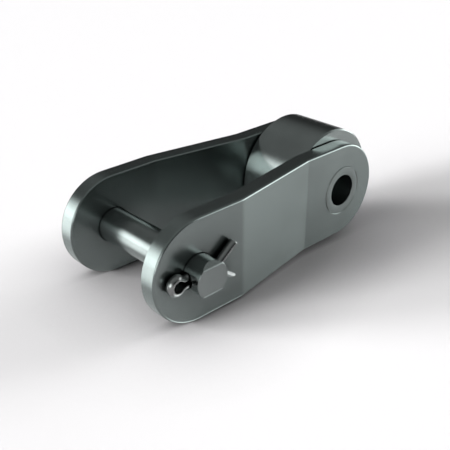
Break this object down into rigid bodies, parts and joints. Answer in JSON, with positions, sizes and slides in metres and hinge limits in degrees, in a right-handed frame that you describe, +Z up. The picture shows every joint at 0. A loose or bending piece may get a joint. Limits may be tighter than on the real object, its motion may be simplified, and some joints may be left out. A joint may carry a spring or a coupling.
{
  "type": "offset chain link",
  "caption": "Cranked offset link of a large-roller chain: bent side plates joined by a bush with a free roller at the narrow end and a cottered pin at the wide end.",
  "frame": {"origin": "centre of the bush's bore, midway between the side plates", "axes": "+X from the pin towards the bush, +Y along the bush bore away from the cotter, +Z up across the plates' height"},
  "size_m": [0.0763, 0.0385, 0.0286],
  "materials": {
    "plate_steel": "satin, oiled",
    "bush_steel": "ground, satin",
    "roller_steel": "ground, satin",
    "pin_steel": "ground, glossy",
    "cotter_steel": "drawn wire, glossy"
  },
  "bodies": {
    "link": {"offset_plate_near": "plate_steel", "offset_plate_far": "plate_steel", "bush": "bush_steel", "pin": "pin_steel", "cotter_pin": "cotter_steel"},
    "roller": {"roller": "roller_steel"}
  },
  "joints": [
    {"name": "roller_spin", "type": "hinge", "parent": "link", "child": "roller", "pos_m": [0, 0, 0], "axis": [0, 1, 0], "continuous": true}
  ]
}
